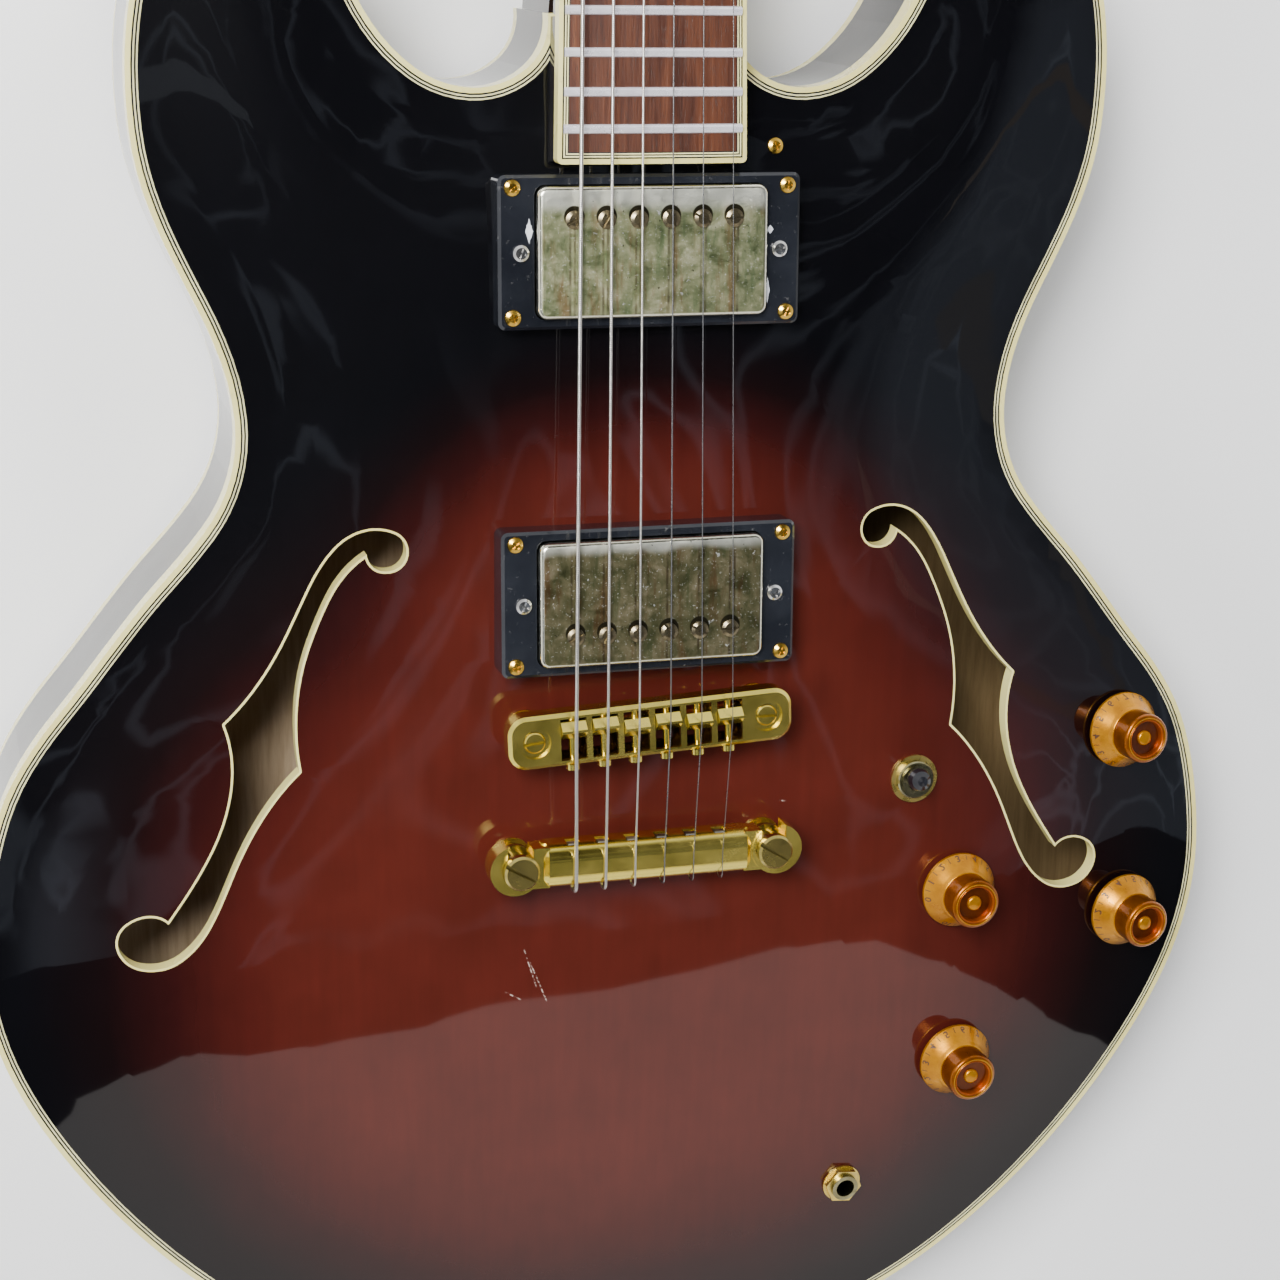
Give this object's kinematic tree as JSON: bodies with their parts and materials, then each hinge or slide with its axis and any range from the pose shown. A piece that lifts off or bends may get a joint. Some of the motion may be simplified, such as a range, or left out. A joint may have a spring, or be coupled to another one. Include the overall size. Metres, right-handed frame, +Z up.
{
  "type": "electric guitar",
  "caption": "Thinline semi-hollow electric guitar with two humbucking pickups, stop tailpiece, f-holes and bound sunburst body.",
  "frame": {"origin": "middle of the tail strap button's head, on the guitar's centre line", "axes": "+Z up with the guitar lying on its back on a floor, +Y along the strings towards the headstock, +X towards the treble strings. The face leans 1.45 degrees from level, because the angled headstock and the arched back both touch the floor"},
  "size_m": [0.4062, 1.0503, 0.0831],
  "materials": {
    "sunburst_maple": "gloss lacquer, dark red-brown sunburst",
    "cream_binding": "polished cream plastic",
    "binding_lines": "thin black and white lines",
    "raw_spruce": "raw",
    "raw_maple": "raw",
    "rosewood": "oiled",
    "neck_maple": "gloss lacquer",
    "rod_steel": "plain",
    "fret_wire": "polished nickel silver",
    "pearl": "pearl",
    "nut_bone": "polished bone",
    "wound_nickel": "nickel wound",
    "plain_steel": "bright steel",
    "bridge_gold": "worn gold plate",
    "worn_nickel": "tarnished nickel",
    "ring_plastic": "gloss black",
    "bobbin_plastic": "matte black",
    "screw_gold": "gold plated",
    "pot_steel": "zinc plated",
    "amber_knob": "clear amber plastic over gold",
    "switch_tip": "gloss black",
    "tuner_gold": "gold plated"
  },
  "bodies": {
    "guitar": {"top_plate": "sunburst_maple", "top_binding": "cream_binding", "top_purfling": "binding_lines", "f_hole_bindings": "cream_binding", "rim": "sunburst_maple", "linings": "raw_spruce", "centre_block": "raw_maple", "back_plate": "sunburst_maple", "back_binding": "cream_binding", "fretboard": "rosewood", "fretboard_binding": "cream_binding", "frets": "fret_wire", "inlays": "pearl", "neck": "neck_maple", "truss_rod": "rod_steel", "nut": "nut_bone", "wound_strings": "wound_nickel", "plain_strings": "plain_steel", "bridge_body": "bridge_gold", "saddles": "bridge_gold", "saddle_screws": "bridge_gold", "bridge_posts": "bridge_gold", "tail_studs": "worn_nickel", "post_bushings": "bridge_gold", "tailpiece": "bridge_gold", "pickup_rings": "ring_plastic", "pickup_covers": "worn_nickel", "pole_screws": "worn_nickel", "pickup_bobbins": "bobbin_plastic", "pickup_baseplates": "worn_nickel", "height_screws": "worn_nickel", "wood_screws": "screw_gold", "potentiometers": "pot_steel", "panel_washers": "bridge_gold", "panel_nuts": "bridge_gold", "output_jack": "bridge_gold", "toggle_body": "pot_steel", "toggle_nut": "worn_nickel", "tuner_bushings": "tuner_gold", "tuner_housings": "tuner_gold", "truss_rod_cover": "ring_plastic", "small_screws": "screw_gold", "strap_buttons": "tuner_gold"},
    "knob_neck_volume": {"knob_neck_volume": "amber_knob"},
    "knob_neck_tone": {"knob_neck_tone": "amber_knob"},
    "knob_bridge_volume": {"knob_bridge_volume": "amber_knob"},
    "knob_bridge_tone": {"knob_bridge_tone": "amber_knob"},
    "toggle_lever": {"toggle_lever": "switch_tip"},
    "tuner_key_1": {"tuner_key_1": "tuner_gold"},
    "tuner_post_1": {"tuner_post_1": "tuner_gold"},
    "tuner_key_2": {"tuner_key_2": "tuner_gold"},
    "tuner_post_2": {"tuner_post_2": "tuner_gold"},
    "tuner_key_3": {"tuner_key_3": "tuner_gold"},
    "tuner_post_3": {"tuner_post_3": "tuner_gold"},
    "tuner_key_4": {"tuner_key_4": "tuner_gold"},
    "tuner_post_4": {"tuner_post_4": "tuner_gold"},
    "tuner_key_5": {"tuner_key_5": "tuner_gold"},
    "tuner_post_5": {"tuner_post_5": "tuner_gold"},
    "tuner_key_6": {"tuner_key_6": "tuner_gold"},
    "tuner_post_6": {"tuner_post_6": "tuner_gold"}
  },
  "joints": [
    {"name": "neck_volume_turn", "type": "hinge", "parent": "guitar", "child": "knob_neck_volume", "pos_m": [0.1107, 0.17707, 0.03519], "axis": [0.0361, -0.0273, 0.999], "range_deg": [-150, 150]},
    {"name": "neck_tone_turn", "type": "hinge", "parent": "guitar", "child": "knob_neck_tone", "pos_m": [0.1135, 0.11483, 0.03191], "axis": [0.0642, -0.0812, 0.9946], "range_deg": [-150, 150]},
    {"name": "bridge_volume_turn", "type": "hinge", "parent": "guitar", "child": "knob_bridge_volume", "pos_m": [0.1697, 0.22651, 0.03024], "axis": [0.1226, 0.0438, 0.9915], "range_deg": [-150, 150]},
    {"name": "bridge_tone_turn", "type": "hinge", "parent": "guitar", "child": "knob_bridge_tone", "pos_m": [0.1745, 0.16201, 0.02931], "axis": [0.1394, -0.0536, 0.9888], "range_deg": [-150, 150]},
    {"name": "toggle_throw", "type": "hinge", "parent": "guitar", "child": "toggle_lever", "pos_m": [0.09327, 0.21691, 0.02944], "axis": [0.7994, 0.6004, -0.021], "range_deg": [0, 20]},
    {"name": "key_1_turn", "type": "hinge", "parent": "guitar", "child": "tuner_key_1", "pos_m": [-0.027, 0.92304, 0.00129], "axis": [-1, 0, 0], "continuous": true},
    {"name": "post_1_turn", "type": "hinge", "parent": "guitar", "child": "tuner_post_1", "pos_m": [-0.027, 0.91907, 0.02257], "axis": [0, 0.2613, 0.9652], "continuous": true},
    {"name": "key_2_turn", "type": "hinge", "parent": "guitar", "child": "tuner_key_2", "pos_m": [-0.027, 0.95972, -0.00864], "axis": [-1, 0, 0], "continuous": true},
    {"name": "post_2_turn", "type": "hinge", "parent": "guitar", "child": "tuner_post_2", "pos_m": [-0.027, 0.95574, 0.01264], "axis": [0, 0.2613, 0.9652], "continuous": true},
    {"name": "key_3_turn", "type": "hinge", "parent": "guitar", "child": "tuner_key_3", "pos_m": [-0.027, 0.9964, -0.01857], "axis": [-1, 0, 0], "continuous": true},
    {"name": "post_3_turn", "type": "hinge", "parent": "guitar", "child": "tuner_post_3", "pos_m": [-0.027, 0.99242, 0.00271], "axis": [0, 0.2613, 0.9652], "continuous": true},
    {"name": "key_4_turn", "type": "hinge", "parent": "guitar", "child": "tuner_key_4", "pos_m": [0.027, 0.9964, -0.01857], "axis": [1, 0, 0], "continuous": true},
    {"name": "post_4_turn", "type": "hinge", "parent": "guitar", "child": "tuner_post_4", "pos_m": [0.027, 0.99242, 0.00271], "axis": [0, 0.2613, 0.9652], "continuous": true},
    {"name": "key_5_turn", "type": "hinge", "parent": "guitar", "child": "tuner_key_5", "pos_m": [0.027, 0.95972, -0.00864], "axis": [1, 0, 0], "continuous": true},
    {"name": "post_5_turn", "type": "hinge", "parent": "guitar", "child": "tuner_post_5", "pos_m": [0.027, 0.95574, 0.01264], "axis": [0, 0.2613, 0.9652], "continuous": true},
    {"name": "key_6_turn", "type": "hinge", "parent": "guitar", "child": "tuner_key_6", "pos_m": [0.027, 0.92304, 0.00129], "axis": [1, 0, 0], "continuous": true},
    {"name": "post_6_turn", "type": "hinge", "parent": "guitar", "child": "tuner_post_6", "pos_m": [0.027, 0.91907, 0.02257], "axis": [0, 0.2613, 0.9652], "continuous": true}
  ],
  "couplings": [
    {"joint": "post_1_turn", "follows": "key_1_turn", "ratio": -0.066667},
    {"joint": "post_2_turn", "follows": "key_2_turn", "ratio": -0.066667},
    {"joint": "post_3_turn", "follows": "key_3_turn", "ratio": -0.066667},
    {"joint": "post_4_turn", "follows": "key_4_turn", "ratio": 0.066667},
    {"joint": "post_5_turn", "follows": "key_5_turn", "ratio": 0.066667},
    {"joint": "post_6_turn", "follows": "key_6_turn", "ratio": 0.066667}
  ]
}
